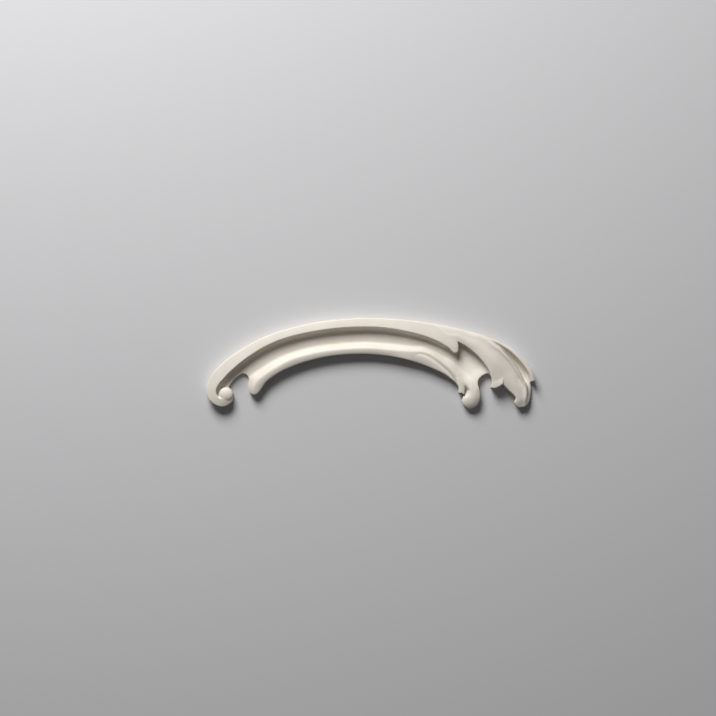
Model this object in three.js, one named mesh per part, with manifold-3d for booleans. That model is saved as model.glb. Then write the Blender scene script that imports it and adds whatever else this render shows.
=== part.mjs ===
// Scroll onlay: a curved moulding with a volute at its left end and leaf ends at its right.
// It is one casting with a flat back. The back lies in the plane y = 0, the carved front faces -Y,
// and the origin is on the back, in the middle of the moulding's width at the crown of the arch.

import * as THREE from "three";
import { mergeVertices } from "three/addons/utils/BufferGeometryUtils.js";
import Module from "manifold-3d";

// Driving sizes, in millimetres.
const LENGTH = 150;
const RIM_BAND = 5.6;
const TOP_BAND = 6.4;
const FLOOR_COVE = 2.3;
const FLOOR_POCKET = 1.9;
const CREST_BEAD = 5.5;
const EDGE_BEAD = 4.5;
const EDGE_LEG = 3.3;
const TOP_LEAF = 7.3;
const EDGE_LEAF = 6.1;
const FLOOR_GROOVE = 1.7;
const TOP_LIP = 6;
const TOP_BALL = 6.1;
const RIM_BALL = 4.4;
const RADIUS_BALL = 3.25;
const TOP_SCROLL = 5.5;
const EDGE_SCROLL = 3.4;
const DEPTH_BEHIND = 1;
const DEPTH_PRISM = 12;

// The plan is drawn in squares. The origin divides the length into these two reaches.
const LEFT_REACH = 163.7;
const RIGHT_REACH = 165.1;
const SQUARE = LENGTH / (LEFT_REACH + RIGHT_REACH);

const wasm = await Module();
wasm.setup();

// A closed three.js geometry as a solid that can be joined and cut.
function solidOf(geometry) {
  const bare = geometry.clone();
  bare.deleteAttribute("normal");
  bare.deleteAttribute("uv");
  const merged = mergeVertices(bare, 1e-4);
  return new wasm.Manifold(
    new wasm.Mesh({
      numProp: 3,
      vertProperties: new Float32Array(merged.attributes.position.array),
      triVerts: new Uint32Array(merged.index.array),
    }),
  );
}

// Ways for the surface to go from one rail to the next: each gives the share of the way across
// and the share of the change in height, for a step u from 0 to 1.
const QUARTER = Math.PI / 2;
const STRAIGHT = (u) => [u, u];
const DIVE = (u) => [1 - Math.cos(u * QUARTER), Math.sin(u * QUARTER)];
const SWELL = (u) => [u, u * u];
const CLIMB = (u) => [u, u * (2 - u)];
const EASE = (u) => [u, u * u * (3 - 2 * u)];

// A body of relief between rails. Each rail is a row of points [across, up, height], one for each
// station, and spans tell how the surface goes to the next rail, and in how many steps.
function relief(stations, spans, steps) {
  const count = stations[0].length;
  const rails = [];
  for (let r = 0; r < count; r += 1) {
    const points = stations.map((s) => new THREE.Vector3(s[r][0] * SQUARE, -s[r][2], s[r][1] * SQUARE));
    rails.push(new THREE.CatmullRomCurve3(points, false, "centripetal"));
  }
  const rows = (stations.length - 1) * steps;
  const grid = [];
  for (let k = 0; k <= rows; k += 1) {
    const at = rails.map((rail) => rail.getPoint(k / rows));
    const row = [at[0]];
    spans.forEach(([shape, parts], r) => {
      for (let j = 1; j <= parts; j += 1) {
        const [way, rise] = shape(j / parts);
        const p = at[r].clone().lerp(at[r + 1], way);
        p.y = THREE.MathUtils.lerp(at[r].y, at[r + 1].y, rise);
        row.push(p);
      }
    });
    grid.push(row);
  }
  return closedBody(grid);
}

// The grid of surface points with a flat sheet behind it and walls round its rim.
function closedBody(given) {
  const along = given[1][0].clone().sub(given[0][0]);
  const across = given[0][1].clone().sub(given[0][0]);
  const turn = along.x * across.z - along.z * across.x;
  const grid = turn > 0 ? given.slice().reverse() : given;
  const rows = grid.length;
  const columns = grid[0].length;
  const positions = [];
  grid.forEach((row) => row.forEach((p) => positions.push(p.x, p.y, p.z)));
  grid.forEach((row) => row.forEach((p) => positions.push(p.x, DEPTH_BEHIND, p.z)));
  const back = rows * columns;
  const faces = [];
  const front = (i, j) => i * columns + j;
  for (let i = 0; i + 1 < rows; i += 1) {
    for (let j = 0; j + 1 < columns; j += 1) {
      const a = front(i, j);
      const b = front(i + 1, j);
      const c = front(i + 1, j + 1);
      const d = front(i, j + 1);
      faces.push(a, d, b, b, d, c);
      faces.push(back + a, back + b, back + d, back + b, back + c, back + d);
    }
  }
  const wall = (a, b) => faces.push(a, b, back + a, back + a, b, back + b);
  for (let i = 0; i + 1 < rows; i += 1) {
    wall(front(i, 0), front(i + 1, 0));
    wall(front(i + 1, columns - 1), front(i, columns - 1));
  }
  for (let j = 0; j + 1 < columns; j += 1) {
    wall(front(0, j + 1), front(0, j));
    wall(front(rows - 1, j), front(rows - 1, j + 1));
  }
  const geometry = new THREE.BufferGeometry();
  geometry.setAttribute("position", new THREE.Float32BufferAttribute(positions, 3));
  geometry.setIndex(faces);
  return solidOf(geometry);
}

// The outline, drawn once round: the crown, the right leaf, the lower scroll, the hollow, the leg
// and the volute.
function outline() {
  const v = (x, z) => new THREE.Vector2(x, z);
  const shape = new THREE.Shape();
  shape.moveTo(-141.4, -51.2);
  // Round the ball and the foot of the volute, then the whole outer arch.
  shape.splineThru([
    v(-137.5, -55.7), v(-137.3, -60.4), v(-138.2, -65.5), v(-142.5, -69.2), v(-148.5, -70.7),
    v(-155.7, -68.1), v(-160.6, -63.3), v(-163.4, -56), v(-162.8, -48), v(-157.3, -37.8),
    v(-151.3, -31.1), v(-139.5, -20.8), v(-115.6, -6), v(-91.7, 4.2), v(-55.8, 13.2), v(-20, 17.2),
    v(0, 17.8), v(34, 16.1), v(69.9, 11), v(99.9, 4.2), v(124, -3.8), v(142, -13.2),
    v(154, -23.5), v(160, -30.8), v(163.6, -38.1), v(165.1, -45),
  ]);
  // The cut end of the lip, then down the outside of the leaf and round its hooked tip.
  shape.lineTo(160.8, -45.3);
  shape.splineThru([
    v(161.3, -53.9), v(159.8, -63.8), v(156, -70), v(151, -72.1), v(146.6, -69.9), v(144.2, -66.3),
  ]);
  shape.splineThru([v(145.7, -62.3), v(143.2, -58.4), v(139, -54.7), v(132.6, -47.9)]);
  // The small lobe, the right notch and the neck of the lower scroll.
  shape.splineThru([v(129.1, -50.4), v(125, -52.1), v(120.7, -51.7)]);
  shape.splineThru([
    v(121.7, -46.2), v(120.5, -39.7), v(117.1, -37.8), v(111, -40.9), v(107.9, -46.6),
    v(109.8, -54.7), v(110.1, -61.5), v(108, -68.4), v(103.7, -71.9), v(98.6, -72.4),
    v(94, -69.2), v(91.8, -65),
  ]);
  // The hollow behind the scroll's hook, and the square tab above it.
  shape.splineThru([v(92.9, -61.5), v(92.6, -58.5), v(93.5, -57.1)]);
  shape.lineTo(88.7, -57);
  shape.lineTo(88.6, -51);
  // The inner edge of the arch, to the foot of the leg.
  shape.splineThru([
    v(86.6, -47.6), v(82, -43.6), v(70.2, -35.7), v(46, -26.2), v(22, -20.5), v(-8, -17.9), v(-38, -19.8),
    v(-62, -25), v(-79.9, -31.3), v(-91.8, -37.1), v(-103.5, -45.6), v(-109.8, -54.5),
    v(-115, -58.9), v(-120.1, -56.5), v(-122.2, -49.2), v(-121.4, -43.5), v(-124.1, -38.4),
    v(-129.8, -38.2), v(-137.5, -44.7), v(-141.4, -51.2),
  ]);
  return shape;
}

// The outline raised to a prism, in front of the back plane.
function outlinePrism() {
  const shape = outline();
  const corners = [];
  shape.curves.forEach((curve) => {
    const parts = curve.isSplineCurve ? (curve.points.length - 1) * 5 : 1;
    curve.getPoints(parts).slice(1).forEach((p) => {
      corners.push(new THREE.Vector2(p.x * SQUARE, p.y * SQUARE));
    });
  });
  const options = { depth: DEPTH_PRISM, bevelEnabled: false };
  const geometry = new THREE.ExtrudeGeometry(new THREE.Shape(corners), options);
  geometry.rotateX(QUARTER);
  return solidOf(geometry);
}

// Cove and bead, from the leg to the pocket and down the neck of the lower scroll.
// Rails: top of the wall under the band, foot of the wall, floor, crest of the bead, lower edge.
function trough() {
  const W = TOP_BAND - 0.4;
  const F = FLOOR_COVE;
  const G = FLOOR_COVE - 0.2;
  const P = FLOOR_POCKET;
  const C = CREST_BEAD;
  const E = EDGE_BEAD - 0.1;
  const L = EDGE_LEG;
  return relief(
    [
      [[-155, -66.4, 4.8], [-147.6, -67.6, 4.6], [-123.4, -62.4, 2.4], [-116, -62.6, 2.8], [-111, -63.6, 2.6]],
      [[-154.6, -58.8, 5.2], [-147.8, -59, F], [-123.4, -56, G], [-115.6, -57.3, 4.6], [-109.4, -60, L]],
      [[-153.8, -49.2, 5.6], [-146, -50.5, F], [-123.4, -49.8, G], [-115.2, -50.6, 5.3], [-106.6, -53, 4]],
      [[-144.4, -36.6, 5.9], [-137, -41.2, F], [-121.4, -40.4, G], [-111.4, -44.6, C], [-103, -47, E]],
      [[-127.2, -21.8, W], [-122.2, -28.2, F], [-114.2, -34.6, G], [-105.4, -39.6, C], [-97.2, -42.6, E]],
      [[-106.8, -9.8, W], [-103.6, -16, F], [-98.8, -25, G], [-93.8, -31.9, C], [-89.6, -37.8, E]],
      [[-86.5, -2.4, W], [-84.8, -7.6, F], [-81.8, -17, G], [-79.2, -24.3, C], [-76.8, -31.6, E]],
      [[-58.4, 4.4, W], [-57.4, -0.8, F], [-55.7, -10.1, G], [-54.3, -17.2, C], [-52.8, -24.4, E]],
      [[-29.2, 8.2, W], [-28.9, 3.1, F], [-28.3, -6.6, G], [-27.6, -13.6, C], [-27, -20.4, E]],
      [[0, 9.3, W], [0, 4.1, F], [0, -5.6, G], [0, -12.6, C], [0, -19.6, E]],
      [[22.2, 7.4, W], [21.8, 2.5, F], [21.3, -7.2, G], [20.6, -14.4, C], [20, -21.6, E + 0.1]],
      [[44.5, 2.9, W], [43.9, -1.4, F], [42.9, -9.4, G + 0.1], [41.8, -15.9, C - 0.05], [40.8, -26.2, E + 0.3]],
      [[55.1, 0, W], [54.3, -4.2, F], [53.1, -9.8, G + 0.2], [52, -16, 5.2], [51.2, -21, 4.4]],
      [[64.7, -3.6, W], [63.9, -8.4, F], [62.6, -13.6, G + 0.3], [61.2, -18.8, 5.1], [60, -24, 4.2]],
      [[78, -9.4, 5.4], [76, -14.6, F], [74, -19.8, G + 0.2], [71.4, -25.6, 5.2], [69.4, -30, 4.1]],
      [[93, -2, 5], [86.4, -16.6, 2], [84, -24.4, G + 0.1], [80, -32.6, 5.2], [77.4, -36.6, 4]],
      [[105, -9, 5], [97, -20.6, P], [91.8, -32.6, G + 0.1], [86.4, -39, 5.1], [82.8, -43, 3.9]],
      [[118, -20, 5], [108, -29, 2.2], [98, -38.6, 2.6], [91.6, -45, 5], [87.4, -48.6, 3.6]],
      [[126, -32, 5], [116.4, -36.4, 3], [104.6, -43.4, 3.6], [97.4, -49.4, 4.9], [94.6, -52.4, 2.8]],
      [[126, -46, 3], [114, -48.6, 3], [107.6, -50, 4.2], [101, -53, 5.2], [96.8, -54.6, 2.8]],
      [[119, -55, 3], [112, -56.4, 3.2], [108, -57.4, 4.3], [102.2, -58.2, 5.3], [95, -58.6, 2.9]],
      [[116, -63, 3], [111.6, -63.6, 3.2], [108, -64, 4], [102, -64.2, 4.9], [92, -64.6, 3.2]],
    ],
    [[DIVE, 3], [EASE, 1], [EASE, 4], [SWELL, 3]],
    3,
  );
}

// The flat band, from under the ball round the volute and along the arch to its hooked end.
// Rails: outside the outline, rim, middle, inner edge, and the same edge let into the cove.
function band() {
  const R = RIM_BAND;
  const T = TOP_BAND;
  const at = (outer, inner, rim, top) => {
    const mid = [(outer[0] + inner[0]) / 2, (outer[1] + inner[1]) / 2, (rim + top) / 2 + 0.06];
    const out = [outer[0] * 1.12 - inner[0] * 0.12, outer[1] * 1.12 - inner[1] * 0.12, rim - 0.3];
    return [out, [...outer, rim], mid, [...inner, top]];
  };
  return relief(
    [
      at([-135.5, -58], [-139.5, -58], 4.2, 5.1),
      at([-137.8, -65.5], [-140.6, -62.4], 4.3, 5.2),
      at([-144, -70], [-144.4, -62.6], 4.6, 5.7),
      at([-152, -70.2], [-148.8, -62.4], 4.9, 5.7),
      at([-160, -64.2], [-152.6, -60], 5.2, 5.8),
      at([-163.5, -55], [-153.6, -54], 5.3, 6),
      at([-162, -45], [-151, -48.4], 5.4, 6.2),
      at([-156, -34.6], [-144.8, -41], 5.5, 6.3),
      at([-146, -25.2], [-136.6, -33], R, T),
      at([-130, -13.3], [-124, -22.8], R, T),
      at([-110, -2.4], [-105.9, -11.3], R, T),
      at([-89, 6], [-86.2, -2.8], R, T),
      at([-60, 13.3], [-58.3, 4.1], R, T),
      at([-30, 17.1], [-29.2, 7.9], R, T),
      at([0, 18.2], [0, 9], R, T),
      at([23, 17.6], [22.2, 7.1], R, T),
      at([46, 15.3], [44.4, 2.6], R, T),
      at([57, 13.4], [55, -0.3], R, T),
      at([68, 8.6], [64.4, -4], 6, T),
      at([75, 3], [71.8, -7.6], 6.3, T),
      at([80.6, -1], [78.3, -11.6], 6.4, T),
      at([86.2, -5], [85.3, -17.2], 6.4, 6.2),
      at([88.4, -9.6], [88.2, -15.4], 6.1, 6),
    ],
    [[STRAIGHT, 1], [STRAIGHT, 1], [STRAIGHT, 1]],
    3,
  );
}

// The ball in the eye of the volute: a dome on a short drum.
function ball() {
  const profile = [new THREE.Vector2(0, -DEPTH_BEHIND), new THREE.Vector2(RADIUS_BALL, -DEPTH_BEHIND)];
  const rings = 7;
  for (let k = 0; k < rings; k += 1) {
    const angle = (k / rings) * QUARTER;
    const height = RIM_BALL + (TOP_BALL - RIM_BALL) * Math.sin(angle);
    profile.push(new THREE.Vector2(RADIUS_BALL * Math.cos(angle), height));
  }
  profile.push(new THREE.Vector2(0, TOP_BALL));
  const geometry = new THREE.LatheGeometry(profile, 28);
  geometry.rotateX(2 * QUARTER);
  geometry.translate(-143.9 * SQUARE, 0, -58.4 * SQUARE);
  return solidOf(geometry);
}

// The strip between the fine crease and the inner edge, at the right of the arch.
// Rails: upper side, crest, lower edge.
function lowerStrip() {
  const E = EDGE_BEAD - 0.15;
  return relief(
    [
      [[36, -13, 4.9], [35.2, -16.4, 5.3], [34, -24.6, E]],
      [[44.2, -13.8, 4.7], [43.2, -18.2, 5.3], [42, -26.4, E + 0.1]],
      [[54.4, -16.2, 4.6], [53, -20.4, 5.35], [51, -28.6, E]],
      [[64.1, -21.6, 4.4], [62.4, -25.6, 5.2], [60, -32.6, E]],
      [[72.8, -28, 4.2], [71, -31.8, 5], [69, -37.2, E]],
      [[80.2, -35, 4], [78.6, -38, 4.7], [77, -42.2, 4.1]],
      [[85.4, -42.8, 4], [84.4, -44.6, 4.3], [83.4, -48, 3.8]],
      [[89.4, -54, 3.8], [88.4, -54, 4], [86.6, -55, 3.6]],
    ],
    [[STRAIGHT, 1], [SWELL, 3]],
    3,
  );
}

// The square tab that the upper strip ends in.
// Rails: left side, middle, right side, and the two sides of the slot's floor beside it.
function tab() {
  return relief(
    [
      [[83, -37, 4.4], [86, -38, 4.9], [89, -39.4, 4.5], [89.8, -39.6, 4], [92, -40, 4]],
      [[86, -43, 4.9], [89, -43.8, 5.3], [92.4, -45, 5], [93.4, -45.4, 4], [96, -46, 4]],
      [[87, -50, 4.7], [91, -50.6, 5.2], [94.6, -51.2, 4.9], [95.2, -51.4, 2.4], [98.4, -51.8, 2.4]],
      [[87, -58.2, 4.5], [91, -58.2, 4.9], [94, -58.2, 4.7], [94.4, -58.2, 2.2], [97.4, -58.2, 2.2]],
    ],
    [[CLIMB, 2], [SWELL, 2], [STRAIGHT, 1], [STRAIGHT, 1]],
    2,
  );
}

// The lower scroll: the neck and the bulb that hooks to the left.
// Rails: right side, crest, left side.
function lowerScroll() {
  const T = TOP_SCROLL;
  const E = EDGE_SCROLL;
  return relief(
    [
      [[107, -46, 2.6], [99, -47.6, 4.2], [97, -48.4, 2.6]],
      [[110.4, -51, E - 0.2], [101, -53, 5.1], [97, -53.8, 2.7]],
      [[111, -56, E], [102.2, -57.6, T - 0.1], [95.4, -58.2, 2.9]],
      [[111.6, -62, E], [102.4, -63, T - 0.1], [91.6, -62.2, E]],
      [[110.2, -68.6, E - 0.2], [101.4, -68.6, 4.7], [90.6, -67, E - 0.2]],
      [[106.4, -74.4, 2.6], [100.4, -74, 3], [93, -73, 2.6]],
    ],
    [[CLIMB, 4], [SWELL, 4]],
    3,
  );
}

// The big leaf, from under the band to its hooked tip.
// Rails: lower left edge, crown of the face, valley, ridge, groove, outside the outline.
function leaf() {
  const E = EDGE_LEAF;
  const T = TOP_LEAF;
  const G = FLOOR_GROOVE;
  return relief(
    [
      [[45, 2, 5.4], [45.4, 7, 5.8], [45.6, 11, 5.6], [45.8, 13, 5.5], [46, 15, 5.4], [46, 16.6, 5.2]],
      [[58, 0, 5.8], [57.6, 6, 6], [57.2, 10, 5.7], [57, 12, 5.6], [57, 13.6, 5.5], [57, 15.2, 5.3]],
      [[68, -3, 6], [68, 3, 6.2], [68, 7.5, 5.9], [68, 9.8, 5.7], [68, 11.6, 5.6], [68, 13.2, 5.4]],
      [[77.4, -5, 6.25], [78, 0, 6.4], [78.8, 5, 6.1], [79, 7.4, 5.9], [79, 9.2, 5.7], [79, 10.9, 5.4]],
      [[86.6, -5.6, 6.25], [88, -1, 6.5], [89.4, 2.8, 6.2], [89.7, 4.8, 6], [90, 6.7, 5.8], [90.4, 8.4, 5.5]],
      [[97.6, -11.4, E], [98.8, -6.4, 6.6], [100.2, 0, 6.3], [100.7, 2, 6.1], [101, 3.9, 5.8], [101.4, 5.6, 5.5]],
      [[107, -19.2, E + 0.2], [109, -11, 6.8], [110.8, -3.4, 6.5], [111.4, -1, 6.4], [111.8, 0.4, 5.9], [112.5, 2.2, 5.4]],
      [[114.3, -27.6, E + 0.4], [116.8, -18.4, T - 0.2], [119.8, -11, 6.7], [121, -8, 6.8], [122.4, -6.2, 6.1], [123.4, -2, 5.4]],
      [[119.4, -36, E + 0.4], [123.6, -26, T - 0.2], [128.4, -16.8, 6.45], [129.8, -14, 6.8], [131.4, -12.4, 4.9], [134.4, -6, 4.6]],
      [[120.6, -45, 5.8], [129, -32, 6.8], [135.8, -24, 5.95], [137.5, -21.6, 6.6], [138.9, -20.4, 3.1], [145.4, -11, 2.9]],
      [[121.4, -53, 5.2], [133.4, -38, 6.4], [141, -31, 5.6], [143.4, -28.5, 6.3], [144.9, -27.4, G + 0.4], [153.4, -18.4, G + 0.2]],
      [[129.6, -54, 4.8], [139, -44.4, 6.1], [146, -38.7, 5.25], [148.9, -36.7, 6.05], [150.5, -35.7, G], [161, -27.6, G]],
      [[134.6, -56, 4.6], [143, -49, 5.9], [149.6, -44.2, 4.8], [152.2, -43.2, 5.8], [154, -42.4, G], [166, -38.6, G]],
      [[139, -60, 4.5], [146.2, -54.4, 5.6], [152.6, -51, 4.8], [155.4, -50, 5.4], [158, -49.8, 2.4], [166, -48, 0.6]],
      [[141.6, -63.4, 4.2], [148.4, -60, 5.3], [153.6, -57.4, 4.8], [156.4, -56.8, 5.1], [158.8, -56.8, 2.9], [165, -57, 0.8]],
      [[142, -68, 3.9], [149.4, -65, 4.9], [153.6, -63.4, 4.7], [155.8, -63.2, 4.6], [158.2, -63.6, 3.5], [163.4, -66, 1.6]],
      [[144.6, -73, 3.2], [150.2, -71.4, 3.8], [152.6, -71, 3.8], [154.2, -71, 3.7], [156.4, -71.4, 3.4], [161, -74, 3]],
    ],
    [[CLIMB, 4], [EASE, 2], [EASE, 2], [EASE, 2], [STRAIGHT, 1]],
    3,
  );
}

// The raised lip along the outside of the leaf, with its cut end.
// Rails: foot of its slope in the groove, inner edge, middle, outside the outline.
function lip() {
  const T = TOP_LIP;
  return relief(
    [
      [[111.6, 0.2, 5.2], [112, 1, 5.4], [112.6, 1.8, 5.3], [113.6, 3.6, 5]],
      [[121.6, -5.4, 5.9], [122.4, -4.1, T + 0.1], [123.2, -3, T], [124.4, 0.2, 5]],
      [[131.2, -10.8, 4.7], [132.1, -9.7, T + 0.2], [133.2, -7.8, T], [135.4, -4.2, 4.9]],
      [[140.4, -17.4, 3], [141.4, -16.2, T + 0.2], [143, -13.8, T], [146, -10.4, 4.7]],
      [[147.4, -24, 2], [148.4, -23.1, T + 0.1], [150.8, -20.8, T - 0.1], [154, -17.2, 4.6]],
      [[153.3, -31.1, 1.7], [154.4, -30.5, T - 0.1], [157.2, -28.6, T - 0.4], [161.2, -25.6, 4.5]],
      [[157.6, -38.2, 1.7], [158.8, -37.6, T - 0.3], [161.6, -36.6, T - 0.6], [166.4, -35.2, 4.4]],
      [[160.3, -46.2, 2.8], [160.9, -46, T - 0.6], [163.2, -46, T - 0.9], [168.4, -46, 4.3]],
    ],
    [[EASE, 2], [STRAIGHT, 1], [STRAIGHT, 1]],
    3,
  );
}

// The small lobe beside the right notch.
// Rails: left side, crest, the crease against the leaf.
function lobe() {
  return relief(
    [
      [[120.8, -35.4, 5.2], [124.8, -35.6, 5.6], [131, -36.6, 5.4]],
      [[119.2, -41, 5.3], [126, -41, 6], [132.4, -41, 6.25]],
      [[119.4, -47, 5.3], [126.4, -47, 6.2], [132.7, -47, 6.6]],
      [[119.6, -54, 5], [126.4, -54, 5.9], [132.4, -54, 6.4]],
    ],
    [[CLIMB, 3], [STRAIGHT, 1]],
    3,
  );
}

const bodies = [trough(), band(), ball(), lowerStrip(), tab(), lowerScroll(), leaf(), lip(), lobe()];
const joined = bodies.reduce((whole, body) => whole.add(body));
const casting = joined.intersect(outlinePrism());

// The finished casting as a three.js geometry.
function geometryOf(solid) {
  const mesh = solid.getMesh();
  const geometry = new THREE.BufferGeometry();
  geometry.setAttribute("position", new THREE.BufferAttribute(new Float32Array(mesh.vertProperties), 3));
  geometry.setIndex(new THREE.BufferAttribute(new Uint32Array(mesh.triVerts), 1));
  geometry.computeVertexNormals();
  return geometry;
}

const cream = new THREE.MeshStandardMaterial({ color: 0xe9e3d8, roughness: 0.62, metalness: 0 });
const onlay = new THREE.Mesh(geometryOf(casting), cream);
onlay.name = "scroll_onlay";

const part = new THREE.Group();
part.name = "scroll_onlay_part";
part.add(onlay);

export default part;
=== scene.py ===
import math
import bmesh
import bpy
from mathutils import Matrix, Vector


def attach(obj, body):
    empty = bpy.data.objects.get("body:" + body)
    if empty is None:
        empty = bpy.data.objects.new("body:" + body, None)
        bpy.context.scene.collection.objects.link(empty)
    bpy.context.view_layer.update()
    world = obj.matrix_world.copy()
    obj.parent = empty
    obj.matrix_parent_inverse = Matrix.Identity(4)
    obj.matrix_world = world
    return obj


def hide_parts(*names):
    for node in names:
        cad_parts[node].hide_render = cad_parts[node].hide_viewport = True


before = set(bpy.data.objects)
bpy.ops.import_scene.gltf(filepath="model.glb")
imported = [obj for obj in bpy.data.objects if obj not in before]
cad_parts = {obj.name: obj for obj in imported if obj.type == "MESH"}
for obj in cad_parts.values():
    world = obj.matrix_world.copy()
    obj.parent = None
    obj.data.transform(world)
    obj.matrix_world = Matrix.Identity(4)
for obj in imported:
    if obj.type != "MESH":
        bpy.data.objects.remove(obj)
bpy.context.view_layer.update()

# Driving sizes in millimetres, the same as the solid's.
LENGTH = 150
RIM_BAND = 5.6
TOP_BAND = 6.4
FLOOR_COVE = 2.3
FLOOR_POCKET = 1.9
CREST_BEAD = 5.5
EDGE_BEAD = 4.5
EDGE_LEG = 3.3
TOP_LEAF = 7.3
EDGE_LEAF = 6.1
FLOOR_GROOVE = 1.7
TOP_LIP = 6
TOP_BALL = 6.1
RIM_BALL = 4.4
RADIUS_BALL = 3.25
TOP_SCROLL = 5.5
EDGE_SCROLL = 3.4
DEPTH_BEHIND = 1
DEPTH_PRISM = 12
LEFT_REACH = 163.7
RIGHT_REACH = 165.1
SQUARE = LENGTH / (LEFT_REACH + RIGHT_REACH)
MM = 0.001

# The middle of the ball, in squares of the plan.
CENTRE_BALL = (-143.9, -58.4)

# The band's outer rail lies past its rim by a share of the band's width, and lower, so that
# the outline cuts through it. The middle of the band swells a little.
PAST_RIM = 0.12
BELOW_RIM = 0.3
SWELL_BAND = 0.06

# How fine the visible surface is.
STEPS_ALONG = 12
FINER_ACROSS = 4
VOXEL = 0.26
SMOOTH_SHARE = 0.5
SMOOTH_ROUNDS = 4
KEPT_SHARE = 0.62

OUTLINE_STEPS = 12
BALL_RINGS = 16
BALL_SIDES = 72
SHORTEST_STEP = 1e-4

# The colours of the casting's mottle, and of the wall.
CREAM_DARK = (0.80, 0.74, 0.65, 1)
CREAM_LIGHT = (0.865, 0.81, 0.73, 1)
WALL_GREY = (0.62, 0.62, 0.63, 1)
WALL_HALF = 3
WALL_LIFT = 0.0002

# The camera: a long lens straight in front, with the photograph's framing.
FRAME_PIXELS = 716
ORIGIN_PIXEL = (370, 336)
LENS = 100
SENSOR = 36
MEAN_RELIEF = 4

QUARTER = math.pi / 2


# Ways for the surface to go from one rail to the next: the share of the way across and the
# share of the change in height, for a step u from 0 to 1.
def straight(u):
    return u, u


def dive(u):
    return 1 - math.cos(u * QUARTER), math.sin(u * QUARTER)


def swell(u):
    return u, u * u


def climb(u):
    return u, u * (2 - u)


def ease(u):
    return u, u * u * (3 - 2 * u)


def centripetal(points, steps):
    """A smooth curve through the points, with the given steps to each of them."""
    first = points[0] * 2 - points[1]
    last = points[-1] * 2 - points[-2]
    chain = [first] + points + [last]
    curve = []
    for i in range(len(points) - 1):
        p0, p1, p2, p3 = chain[i:i + 4]
        d1 = max((p2 - p1).length ** 0.5, SHORTEST_STEP)
        d0 = max((p1 - p0).length ** 0.5, SHORTEST_STEP)
        d2 = max((p3 - p2).length ** 0.5, SHORTEST_STEP)
        t1 = ((p1 - p0) / d0 - (p2 - p0) / (d0 + d1) + (p2 - p1) / d1) * d1
        t2 = ((p2 - p1) / d1 - (p3 - p1) / (d1 + d2) + (p3 - p2) / d2) * d1
        for k in range(steps):
            u = k / steps
            a = p1 + t1 * u
            b = (p2 - p1) * 3 - t1 * 2 - t2
            c = (p1 - p2) * 2 + t1 + t2
            curve.append(a + b * u * u + c * u ** 3)
    curve.append(points[-1].copy())
    return curve


def mesh_object(name, verts, faces):
    """A closed mesh, in metres, from points in millimetres."""
    mesh = bpy.data.meshes.new(name)
    mesh.from_pydata([v * MM for v in verts], [], faces)
    mesh.update()
    bm = bmesh.new()
    bm.from_mesh(mesh)
    if bm.calc_volume(signed=True) < 0:
        bmesh.ops.reverse_faces(bm, faces=bm.faces)
    bm.to_mesh(mesh)
    bm.free()
    obj = bpy.data.objects.new(name, mesh)
    bpy.context.scene.collection.objects.link(obj)
    return obj


def relief(name, stations, spans):
    """A body of relief between rails, with a flat back.

    Each station is a row of points (across, up, height), one for each rail, with across and
    up in squares and the height in millimetres. A span says how the surface goes from one
    rail to the next, and in how many parts.
    """
    rails = []
    for r in range(len(stations[0])):
        points = [Vector((s[r][0] * SQUARE, -s[r][2], s[r][1] * SQUARE)) for s in stations]
        rails.append(centripetal(points, STEPS_ALONG))
    rows = []
    for k in range(len(rails[0])):
        row = [rails[0][k]]
        for r, (shape, parts) in enumerate(spans):
            start, end = rails[r][k], rails[r + 1][k]
            for j in range(1, parts * FINER_ACROSS + 1):
                way, rise = shape(j / (parts * FINER_ACROSS))
                p = start.lerp(end, way)
                p.y = start.y + (end.y - start.y) * rise
                row.append(p)
        rows.append(row)
    columns = len(rows[0])
    front = [p for row in rows for p in row]
    back = [Vector((p.x, DEPTH_BEHIND, p.z)) for p in front]
    size = len(front)
    faces = []
    for i in range(len(rows) - 1):
        for j in range(columns - 1):
            a = i * columns + j
            b = a + columns
            faces.append((a, a + 1, b + 1, b))
            faces.append((size + a, size + b, size + b + 1, size + a + 1))
    rim = [i * columns for i in range(len(rows))]
    rim += [(len(rows) - 1) * columns + j for j in range(1, columns)]
    rim += [i * columns + columns - 1 for i in range(len(rows) - 2, -1, -1)]
    rim += [j for j in range(columns - 2, 0, -1)]
    for a, b in zip(rim, rim[1:] + rim[:1]):
        faces.append((a, b, size + b, size + a))
    return mesh_object(name, front + back, faces)


def spline_through(points, steps):
    """The points of a smooth plan line, without its first point."""
    curve = []
    last = len(points) - 1
    for i in range(last):
        p0, p1 = points[max(i - 1, 0)], points[i]
        p2, p3 = points[i + 1], points[min(i + 2, last)]
        for k in range(1, steps + 1):
            u = k / steps
            v0, v1 = (p2 - p0) * 0.5, (p3 - p1) * 0.5
            curve.append(
                (p1 - p2) * 2 * u ** 3 + (v0 + v1) * u ** 3
                + (p2 - p1) * 3 * u * u - (v0 * 2 + v1) * u * u + v0 * u + p1
            )
    return curve


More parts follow.
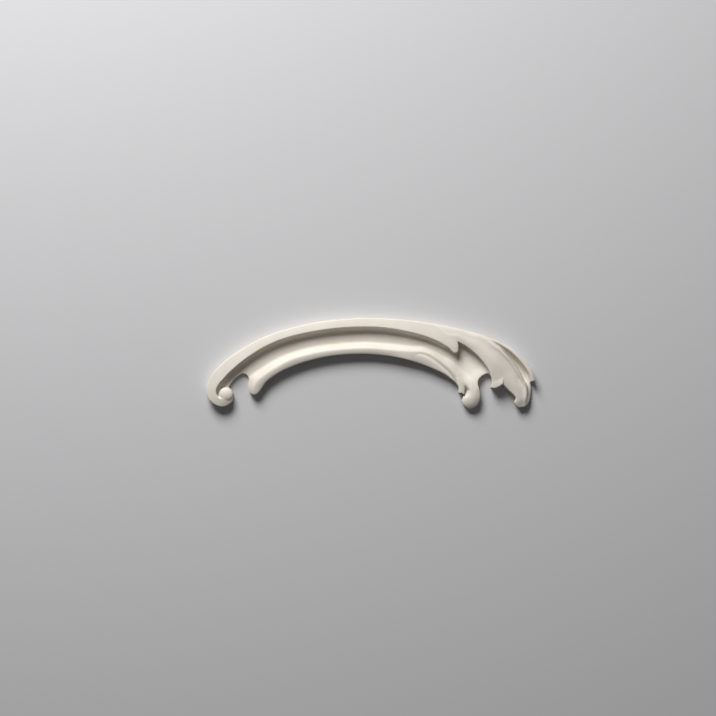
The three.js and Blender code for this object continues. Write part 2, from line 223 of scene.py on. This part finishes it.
def outline():
    """The plan of the casting, drawn once round from the notch beside the ball."""
    runs = [
        # The ball, the foot of the volute, and the whole outer arch.
        [(-137.5, -55.7), (-137.3, -60.4), (-138.2, -65.5), (-142.5, -69.2), (-148.5, -70.7),
         (-155.7, -68.1), (-160.6, -63.3), (-163.4, -56), (-162.8, -48), (-157.3, -37.8),
         (-151.3, -31.1), (-139.5, -20.8), (-115.6, -6), (-91.7, 4.2), (-55.8, 13.2), (-20, 17.2),
         (0, 17.8), (34, 16.1), (69.9, 11), (99.9, 4.2), (124, -3.8), (142, -13.2), (154, -23.5),
         (160, -30.8), (163.6, -38.1), (165.1, -45)],
        # The cut end of the lip, and down the outside of the leaf to its hooked tip.
        [(160.8, -45.3)],
        [(161.3, -53.9), (159.8, -63.8), (156, -70), (151, -72.1), (146.6, -69.9), (144.2, -66.3)],
        [(145.7, -62.3), (143.2, -58.4), (139, -54.7), (132.6, -47.9)],
        # The small lobe, the right notch and the lower scroll.
        [(129.1, -50.4), (125, -52.1), (120.7, -51.7)],
        [(121.7, -46.2), (120.5, -39.7), (117.1, -37.8), (111, -40.9), (107.9, -46.6),
         (109.8, -54.7), (110.1, -61.5), (108, -68.4), (103.7, -71.9), (98.6, -72.4), (94, -69.2),
         (91.8, -65)],
        # The hollow behind the hook, and the square tab.
        [(92.9, -61.5), (92.6, -58.5), (93.5, -57.1)],
        [(88.7, -57)],
        [(88.6, -51)],
        # The inner edge of the arch, the leg and the left notch.
        [(86.6, -47.6), (82, -43.6), (70.2, -35.7), (46, -26.2), (22, -20.5), (-8, -17.9),
         (-38, -19.8), (-62, -25), (-79.9, -31.3), (-91.8, -37.1), (-103.5, -45.6), (-109.8, -54.5),
         (-115, -58.9), (-120.1, -56.5), (-122.2, -49.2), (-121.4, -43.5), (-124.1, -38.4),
         (-129.8, -38.2), (-137.5, -44.7), (-141.4, -51.2)],
    ]
    pen = Vector((-141.4, -51.2))
    corners = []
    for run in runs:
        points = [pen] + [Vector(p) for p in run]
        corners += spline_through(points, OUTLINE_STEPS) if len(run) > 1 else [points[1]]
        pen = points[-1]
    return corners


def outline_prism():
    """The outline as a deep prism, which cuts the joined relief to its plan."""
    corners = outline()
    front = [Vector((c.x * SQUARE, -DEPTH_PRISM, c.y * SQUARE)) for c in corners]
    back = [Vector((c.x * SQUARE, 0, c.y * SQUARE)) for c in corners]
    count = len(corners)
    faces = [tuple(range(count)), tuple(range(2 * count - 1, count - 1, -1))]
    for i in range(count):
        j = (i + 1) % count
        faces.append((i, count + i, count + j, j))
    return mesh_object("outline_prism", front + back, faces)


def at(outer, inner, rim, top):
    """A station of the band: outside the outline, rim, middle, inner edge."""
    middle = ((outer[0] + inner[0]) / 2, (outer[1] + inner[1]) / 2, (rim + top) / 2 + SWELL_BAND)
    outside = (
        outer[0] * (1 + PAST_RIM) - inner[0] * PAST_RIM,
        outer[1] * (1 + PAST_RIM) - inner[1] * PAST_RIM,
        rim - BELOW_RIM,
    )
    return [outside, (*outer, rim), middle, (*inner, top)]


def trough():
    """Cove and bead, from the leg to the pocket and down the neck of the lower scroll."""
    # Heights of the wall under the band, the cove's floor and its far side, and the pocket.
    W = TOP_BAND - 0.4
    F = FLOOR_COVE
    G = FLOOR_COVE - 0.2
    P = FLOOR_POCKET
    # Heights of the bead's crest, its edge, and the edge of the leg.
    C = CREST_BEAD
    E = EDGE_BEAD - 0.1
    L = EDGE_LEG
    return relief("trough", [
        [(-155, -66.4, 4.8), (-147.6, -67.6, 4.6), (-123.4, -62.4, 2.4), (-116, -62.6, 2.8),
         (-111, -63.6, 2.6)],
        [(-154.6, -58.8, 5.2), (-147.8, -59, F), (-123.4, -56, G), (-115.6, -57.3, 4.6),
         (-109.4, -60, L)],
        [(-153.8, -49.2, 5.6), (-146, -50.5, F), (-123.4, -49.8, G), (-115.2, -50.6, 5.3),
         (-106.6, -53, 4)],
        [(-144.4, -36.6, 5.9), (-137, -41.2, F), (-121.4, -40.4, G), (-111.4, -44.6, C),
         (-103, -47, E)],
        [(-127.2, -21.8, W), (-122.2, -28.2, F), (-114.2, -34.6, G), (-105.4, -39.6, C),
         (-97.2, -42.6, E)],
        [(-106.8, -9.8, W), (-103.6, -16, F), (-98.8, -25, G), (-93.8, -31.9, C),
         (-89.6, -37.8, E)],
        [(-86.5, -2.4, W), (-84.8, -7.6, F), (-81.8, -17, G), (-79.2, -24.3, C), (-76.8, -31.6, E)],
        [(-58.4, 4.4, W), (-57.4, -0.8, F), (-55.7, -10.1, G), (-54.3, -17.2, C),
         (-52.8, -24.4, E)],
        [(-29.2, 8.2, W), (-28.9, 3.1, F), (-28.3, -6.6, G), (-27.6, -13.6, C), (-27, -20.4, E)],
        [(0, 9.3, W), (0, 4.1, F), (0, -5.6, G), (0, -12.6, C), (0, -19.6, E)],
        [(22.2, 7.4, W), (21.8, 2.5, F), (21.3, -7.2, G), (20.6, -14.4, C), (20, -21.6, E + 0.1)],
        [(44.5, 2.9, W), (43.9, -1.4, F), (42.9, -9.4, G + 0.1), (41.8, -15.9, C - 0.05),
         (40.8, -26.2, E + 0.3)],
        [(55.1, 0, W), (54.3, -4.2, F), (53.1, -9.8, G + 0.2), (52, -16, 5.2), (51.2, -21, 4.4)],
        [(64.7, -3.6, W), (63.9, -8.4, F), (62.6, -13.6, G + 0.3), (61.2, -18.8, 5.1),
         (60, -24, 4.2)],
        [(78, -9.4, 5.4), (76, -14.6, F), (74, -19.8, G + 0.2), (71.4, -25.6, 5.2),
         (69.4, -30, 4.1)],
        [(93, -2, 5), (86.4, -16.6, 2), (84, -24.4, G + 0.1), (80, -32.6, 5.2), (77.4, -36.6, 4)],
        [(105, -9, 5), (97, -20.6, P), (91.8, -32.6, G + 0.1), (86.4, -39, 5.1), (82.8, -43, 3.9)],
        [(118, -20, 5), (108, -29, 2.2), (98, -38.6, 2.6), (91.6, -45, 5), (87.4, -48.6, 3.6)],
        [(126, -32, 5), (116.4, -36.4, 3), (104.6, -43.4, 3.6), (97.4, -49.4, 4.9),
         (94.6, -52.4, 2.8)],
        [(126, -46, 3), (114, -48.6, 3), (107.6, -50, 4.2), (101, -53, 5.2), (96.8, -54.6, 2.8)],
        [(119, -55, 3), (112, -56.4, 3.2), (108, -57.4, 4.3), (102.2, -58.2, 5.3),
         (95, -58.6, 2.9)],
        [(116, -63, 3), (111.6, -63.6, 3.2), (108, -64, 4), (102, -64.2, 4.9), (92, -64.6, 3.2)],
    ], [(dive, 3), (ease, 1), (ease, 4), (swell, 3)])


def band():
    """The flat band, round the volute and along the arch to its hooked end."""
    R = RIM_BAND
    T = TOP_BAND
    return relief("band", [
        at((-135.5, -58), (-139.5, -58), 4.2, 5.1),
        at((-137.8, -65.5), (-140.6, -62.4), 4.3, 5.2),
        at((-144, -70), (-144.4, -62.6), 4.6, 5.7),
        at((-152, -70.2), (-148.8, -62.4), 4.9, 5.7),
        at((-160, -64.2), (-152.6, -60), 5.2, 5.8),
        at((-163.5, -55), (-153.6, -54), 5.3, 6),
        at((-162, -45), (-151, -48.4), 5.4, 6.2),
        at((-156, -34.6), (-144.8, -41), 5.5, 6.3),
        at((-146, -25.2), (-136.6, -33), R, T),
        at((-130, -13.3), (-124, -22.8), R, T),
        at((-110, -2.4), (-105.9, -11.3), R, T),
        at((-89, 6), (-86.2, -2.8), R, T),
        at((-60, 13.3), (-58.3, 4.1), R, T),
        at((-30, 17.1), (-29.2, 7.9), R, T),
        at((0, 18.2), (0, 9), R, T),
        at((23, 17.6), (22.2, 7.1), R, T),
        at((46, 15.3), (44.4, 2.6), R, T),
        at((57, 13.4), (55, -0.3), R, T),
        at((68, 8.6), (64.4, -4), 6, T),
        at((75, 3), (71.8, -7.6), 6.3, T),
        at((80.6, -1), (78.3, -11.6), 6.4, T),
        at((86.2, -5), (85.3, -17.2), 6.4, 6.2),
        at((88.4, -9.6), (88.2, -15.4), 6.1, 6),
    ], [(straight, 1), (straight, 1), (straight, 1)])


def ball():
    """The ball in the eye of the volute: a dome on a short drum."""
    sides = BALL_SIDES
    middle_x = CENTRE_BALL[0] * SQUARE
    middle_z = CENTRE_BALL[1] * SQUARE
    profile = [(RADIUS_BALL, -DEPTH_BEHIND)]
    for k in range(BALL_RINGS):
        angle = k / BALL_RINGS * QUARTER
        height = RIM_BALL + (TOP_BALL - RIM_BALL) * math.sin(angle)
        profile.append((RADIUS_BALL * math.cos(angle), height))
    verts = []
    faces = []
    for radius, height in profile:
        for s in range(sides):
            turn = s / sides * 4 * QUARTER
            x = middle_x + radius * math.cos(turn)
            z = middle_z + radius * math.sin(turn)
            verts.append(Vector((x, -height, z)))
    for i in range(len(profile) - 1):
        for s in range(sides):
            a = i * sides + s
            b = i * sides + (s + 1) % sides
            faces.append((a, b, b + sides, a + sides))
    verts.append(Vector((middle_x, -TOP_BALL, middle_z)))
    top = (len(profile) - 1) * sides
    for s in range(sides):
        faces.append((top + s, top + (s + 1) % sides, len(verts) - 1))
    faces.append(tuple(range(sides - 1, -1, -1)))
    return mesh_object("ball", verts, faces)


def lower_strip():
    """The strip between the fine crease and the inner edge, at the right of the arch."""
    E = EDGE_BEAD - 0.15
    return relief("lower_strip", [
        [(36, -13, 4.9), (35.2, -16.4, 5.3), (34, -24.6, E)],
        [(44.2, -13.8, 4.7), (43.2, -18.2, 5.3), (42, -26.4, E + 0.1)],
        [(54.4, -16.2, 4.6), (53, -20.4, 5.35), (51, -28.6, E)],
        [(64.1, -21.6, 4.4), (62.4, -25.6, 5.2), (60, -32.6, E)],
        [(72.8, -28, 4.2), (71, -31.8, 5), (69, -37.2, E)],
        [(80.2, -35, 4), (78.6, -38, 4.7), (77, -42.2, 4.1)],
        [(85.4, -42.8, 4), (84.4, -44.6, 4.3), (83.4, -48, 3.8)],
        [(89.4, -54, 3.8), (88.4, -54, 4), (86.6, -55, 3.6)],
    ], [(straight, 1), (swell, 3)])


def tab():
    """The square tab that the upper strip ends in."""
    return relief("tab", [
        [(83, -37, 4.4), (86, -38, 4.9), (89, -39.4, 4.5), (89.8, -39.6, 4), (92, -40, 4)],
        [(86, -43, 4.9), (89, -43.8, 5.3), (92.4, -45, 5), (93.4, -45.4, 4), (96, -46, 4)],
        [(87, -50, 4.7), (91, -50.6, 5.2), (94.6, -51.2, 4.9), (95.2, -51.4, 2.4),
         (98.4, -51.8, 2.4)],
        [(87, -58.2, 4.5), (91, -58.2, 4.9), (94, -58.2, 4.7), (94.4, -58.2, 2.2),
         (97.4, -58.2, 2.2)],
    ], [(climb, 2), (swell, 2), (straight, 1), (straight, 1)])


def lower_scroll():
    """The bulb of the lower scroll, which hooks to the left."""
    T = TOP_SCROLL
    E = EDGE_SCROLL
    return relief("lower_scroll", [
        [(107, -46, 2.6), (99, -47.6, 4.2), (97, -48.4, 2.6)],
        [(110.4, -51, E - 0.2), (101, -53, 5.1), (97, -53.8, 2.7)],
        [(111, -56, E), (102.2, -57.6, T - 0.1), (95.4, -58.2, 2.9)],
        [(111.6, -62, E), (102.4, -63, T - 0.1), (91.6, -62.2, E)],
        [(110.2, -68.6, E - 0.2), (101.4, -68.6, 4.7), (90.6, -67, E - 0.2)],
        [(106.4, -74.4, 2.6), (100.4, -74, 3), (93, -73, 2.6)],
    ], [(climb, 4), (swell, 4)])


def leaf():
    """The big leaf, from under the band to its hooked tip."""
    E = EDGE_LEAF
    T = TOP_LEAF
    G = FLOOR_GROOVE
    return relief("leaf", [
        [(45, 2, 5.4), (45.4, 7, 5.8), (45.6, 11, 5.6), (45.8, 13, 5.5), (46, 15, 5.4),
         (46, 16.6, 5.2)],
        [(58, 0, 5.8), (57.6, 6, 6), (57.2, 10, 5.7), (57, 12, 5.6), (57, 13.6, 5.5),
         (57, 15.2, 5.3)],
        [(68, -3, 6), (68, 3, 6.2), (68, 7.5, 5.9), (68, 9.8, 5.7), (68, 11.6, 5.6),
         (68, 13.2, 5.4)],
        [(77.4, -5, 6.25), (78, 0, 6.4), (78.8, 5, 6.1), (79, 7.4, 5.9), (79, 9.2, 5.7),
         (79, 10.9, 5.4)],
        [(86.6, -5.6, 6.25), (88, -1, 6.5), (89.4, 2.8, 6.2), (89.7, 4.8, 6), (90, 6.7, 5.8),
         (90.4, 8.4, 5.5)],
        [(97.6, -11.4, E), (98.8, -6.4, 6.6), (100.2, 0, 6.3), (100.7, 2, 6.1), (101, 3.9, 5.8),
         (101.4, 5.6, 5.5)],
        [(107, -19.2, E + 0.2), (109, -11, 6.8), (110.8, -3.4, 6.5), (111.4, -1, 6.4),
         (111.8, 0.4, 5.9), (112.5, 2.2, 5.4)],
        [(114.3, -27.6, E + 0.4), (116.8, -18.4, T - 0.2), (119.8, -11, 6.7), (121, -8, 6.8),
         (122.4, -6.2, 6.1), (123.4, -2, 5.4)],
        [(119.4, -36, E + 0.4), (123.6, -26, T - 0.2), (128.4, -16.8, 6.45), (129.8, -14, 6.8),
         (131.4, -12.4, 4.9), (134.4, -6, 4.6)],
        [(120.6, -45, 5.8), (129, -32, 6.8), (135.8, -24, 5.95), (137.5, -21.6, 6.6),
         (138.9, -20.4, 3.1), (145.4, -11, 2.9)],
        [(121.4, -53, 5.2), (133.4, -38, 6.4), (141, -31, 5.6), (143.4, -28.5, 6.3),
         (144.9, -27.4, G + 0.4), (153.4, -18.4, G + 0.2)],
        [(129.6, -54, 4.8), (139, -44.4, 6.1), (146, -38.7, 5.25), (148.9, -36.7, 6.05),
         (150.5, -35.7, G), (161, -27.6, G)],
        [(134.6, -56, 4.6), (143, -49, 5.9), (149.6, -44.2, 4.8), (152.2, -43.2, 5.8),
         (154, -42.4, G), (166, -38.6, G)],
        [(139, -60, 4.5), (146.2, -54.4, 5.6), (152.6, -51, 4.8), (155.4, -50, 5.4),
         (158, -49.8, 2.4), (166, -48, 0.6)],
        [(141.6, -63.4, 4.2), (148.4, -60, 5.3), (153.6, -57.4, 4.8), (156.4, -56.8, 5.1),
         (158.8, -56.8, 2.9), (165, -57, 0.8)],
        [(142, -68, 3.9), (149.4, -65, 4.9), (153.6, -63.4, 4.7), (155.8, -63.2, 4.6),
         (158.2, -63.6, 3.5), (163.4, -66, 1.6)],
        [(144.6, -73, 3.2), (150.2, -71.4, 3.8), (152.6, -71, 3.8), (154.2, -71, 3.7),
         (156.4, -71.4, 3.4), (161, -74, 3)],
    ], [(climb, 4), (ease, 2), (ease, 2), (ease, 2), (straight, 1)])


def lip():
    """The raised lip along the outside of the leaf, with its cut end."""
    T = TOP_LIP
    return relief("lip", [
        [(111.6, 0.2, 5.2), (112, 1, 5.4), (112.6, 1.8, 5.3), (113.6, 3.6, 5)],
        [(121.6, -5.4, 5.9), (122.4, -4.1, T + 0.1), (123.2, -3, T), (124.4, 0.2, 5)],
        [(131.2, -10.8, 4.7), (132.1, -9.7, T + 0.2), (133.2, -7.8, T), (135.4, -4.2, 4.9)],
        [(140.4, -17.4, 3), (141.4, -16.2, T + 0.2), (143, -13.8, T), (146, -10.4, 4.7)],
        [(147.4, -24, 2), (148.4, -23.1, T + 0.1), (150.8, -20.8, T - 0.1), (154, -17.2, 4.6)],
        [(153.3, -31.1, 1.7), (154.4, -30.5, T - 0.1), (157.2, -28.6, T - 0.4),
         (161.2, -25.6, 4.5)],
        [(157.6, -38.2, 1.7), (158.8, -37.6, T - 0.3), (161.6, -36.6, T - 0.6),
         (166.4, -35.2, 4.4)],
        [(160.3, -46.2, 2.8), (160.9, -46, T - 0.6), (163.2, -46, T - 0.9), (168.4, -46, 4.3)],
    ], [(ease, 2), (straight, 1), (straight, 1)])


def lobe():
    """The small lobe beside the right notch."""
    return relief("lobe", [
        [(120.8, -35.4, 5.2), (124.8, -35.6, 5.6), (131, -36.6, 5.4)],
        [(119.2, -41, 5.3), (126, -41, 6), (132.4, -41, 6.25)],
        [(119.4, -47, 5.3), (126.4, -47, 6.2), (132.7, -47, 6.6)],
        [(119.6, -54, 5), (126.4, -54, 5.9), (132.4, -54, 6.4)],
    ], [(climb, 3), (straight, 1)])


def combine(whole, other, operation):
    """Joins other to whole, or cuts whole by it, and removes other."""
    change = whole.modifiers.new(operation, "BOOLEAN")
    change.operation = operation
    change.solver = "MANIFOLD"
    change.object = other
    settle(whole)
    bpy.data.objects.remove(other)


def settle(obj):
    """Puts the result of the modifiers into the mesh."""
    graph = bpy.context.evaluated_depsgraph_get()
    made = bpy.data.meshes.new_from_object(obj.evaluated_get(graph))
    obj.modifiers.clear()
    obj.data = made


casting = trough()
for body in (band(), ball(), lower_strip(), tab(), lower_scroll(), leaf(), lip(), lobe()):
    combine(casting, body, "UNION")
combine(casting, outline_prism(), "INTERSECT")
casting.name = "onlay_casting"

# The mould rounds every edge a little, so the surface is remade in small cells and eased.
cells = casting.modifiers.new("cells", "REMESH")
cells.mode = "VOXEL"
cells.voxel_size = VOXEL * MM
eased = casting.modifiers.new("eased", "SMOOTH")
eased.factor = SMOOTH_SHARE
eased.iterations = SMOOTH_ROUNDS
fewer = casting.modifiers.new("fewer", "DECIMATE")
fewer.ratio = KEPT_SHARE
settle(casting)
for polygon in casting.data.polygons:
    polygon.use_smooth = True


def cast_polyurethane():
    """Matte cream polyurethane straight from the mould, with a faint mottle and fine pores."""
    material = bpy.data.materials.new("cast_polyurethane")
    material.use_nodes = True
    nodes, links = material.node_tree.nodes, material.node_tree.links
    shader = nodes["Principled BSDF"]
    place = nodes.new("ShaderNodeTexCoord")
    mottle = nodes.new("ShaderNodeTexNoise")
    mottle.inputs["Scale"].default_value = 90
    mottle.inputs["Detail"].default_value = 4
    links.new(place.outputs["Object"], mottle.inputs["Vector"])
    tint = nodes.new("ShaderNodeValToRGB")
    tint.color_ramp.elements[0].position = 0.35
    tint.color_ramp.elements[0].color = CREAM_DARK
    tint.color_ramp.elements[1].position = 0.7
    tint.color_ramp.elements[1].color = CREAM_LIGHT
    links.new(mottle.outputs["Fac"], tint.inputs["Fac"])
    links.new(tint.outputs["Color"], shader.inputs["Base Color"])
    grain = nodes.new("ShaderNodeTexNoise")
    grain.inputs["Scale"].default_value = 1100
    grain.inputs["Detail"].default_value = 3
    links.new(place.outputs["Object"], grain.inputs["Vector"])
    gloss = nodes.new("ShaderNodeMapRange")
    gloss.inputs["To Min"].default_value = 0.5
    gloss.inputs["To Max"].default_value = 0.68
    links.new(grain.outputs["Fac"], gloss.inputs["Value"])
    links.new(gloss.outputs["Result"], shader.inputs["Roughness"])
    bump = nodes.new("ShaderNodeBump")
    bump.inputs["Strength"].default_value = 0.3
    bump.inputs["Distance"].default_value = 0.0001
    links.new(grain.outputs["Fac"], bump.inputs["Height"])
    links.new(bump.outputs["Normal"], shader.inputs["Normal"])
    shader.inputs["Subsurface Weight"].default_value = 0.08
    shader.inputs["Subsurface Radius"].default_value = (1, 0.7, 0.45)
    shader.inputs["Subsurface Scale"].default_value = 0.0015
    return material


casting.data.materials.clear()
casting.data.materials.append(cast_polyurethane())
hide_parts("scroll_onlay")
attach(casting, "root")


def wall():
    """A plain pale wall, a hair in front of the casting's back, and clear from behind."""
    mesh = bpy.data.meshes.new("wall")
    sides = [(-1, -1), (1, -1), (1, 1), (-1, 1)]
    corners = [(x * WALL_HALF, -WALL_LIFT, z * WALL_HALF) for x, z in sides]
    mesh.from_pydata(corners, [], [(0, 1, 2, 3)])
    obj = bpy.data.objects.new("wall", mesh)
    bpy.context.scene.collection.objects.link(obj)
    material = bpy.data.materials.new("pale_wall")
    material.use_nodes = True
    nodes, links = material.node_tree.nodes, material.node_tree.links
    shader = nodes["Principled BSDF"]
    shader.inputs["Base Color"].default_value = WALL_GREY
    shader.inputs["Roughness"].default_value = 0.9
    clear = nodes.new("ShaderNodeBsdfTransparent")
    side = nodes.new("ShaderNodeNewGeometry")
    mix = nodes.new("ShaderNodeMixShader")
    links.new(side.outputs["Backfacing"], mix.inputs["Fac"])
    links.new(shader.outputs["BSDF"], mix.inputs[1])
    links.new(clear.outputs["BSDF"], mix.inputs[2])
    links.new(mix.outputs["Shader"], nodes["Material Output"].inputs["Surface"])
    mesh.materials.append(material)


def light(name, place, size, power, target=(0, 0, -0.01)):
    """A soft lamp that faces the target and isn't seen itself."""
    lamp = bpy.data.lights.new(name, "AREA")
    lamp.shape = "RECTANGLE"
    lamp.size, lamp.size_y = size
    lamp.energy = power
    obj = bpy.data.objects.new(name, lamp)
    obj.location = place
    aim = Vector(target) - Vector(place)
    obj.rotation_euler = aim.to_track_quat("-Z", "Y").to_euler()
    obj.visible_camera = False
    bpy.context.scene.collection.objects.link(obj)


wall()
light("key", place=(-0.24, -0.53, 0.65), size=(0.42, 0.42), power=9.3)
light("back_fill", place=(0.6, 1.4, 0.8), size=(1.2, 1.2), power=12)
world = bpy.data.worlds.new("studio")
world.use_nodes = True
background = world.node_tree.nodes["Background"]
background.inputs["Color"].default_value = (1, 1, 1, 1)
background.inputs["Strength"].default_value = 0.08
bpy.context.scene.world = world
bpy.context.scene.view_settings.view_transform = "Standard"

camera = bpy.data.cameras.new("camera")
camera.lens = LENS
camera.sensor_width = SENSOR
view = bpy.data.objects.new("camera", camera)
bpy.context.scene.collection.objects.link(view)
frame_width = FRAME_PIXELS * SQUARE
view.location = (
    (FRAME_PIXELS / 2 - ORIGIN_PIXEL[0]) * SQUARE * MM,
    -(frame_width * LENS / SENSOR + MEAN_RELIEF) * MM,
    (ORIGIN_PIXEL[1] - FRAME_PIXELS / 2) * SQUARE * MM,
)
view.rotation_euler = (QUARTER, 0, 0)
bpy.context.scene.camera = view
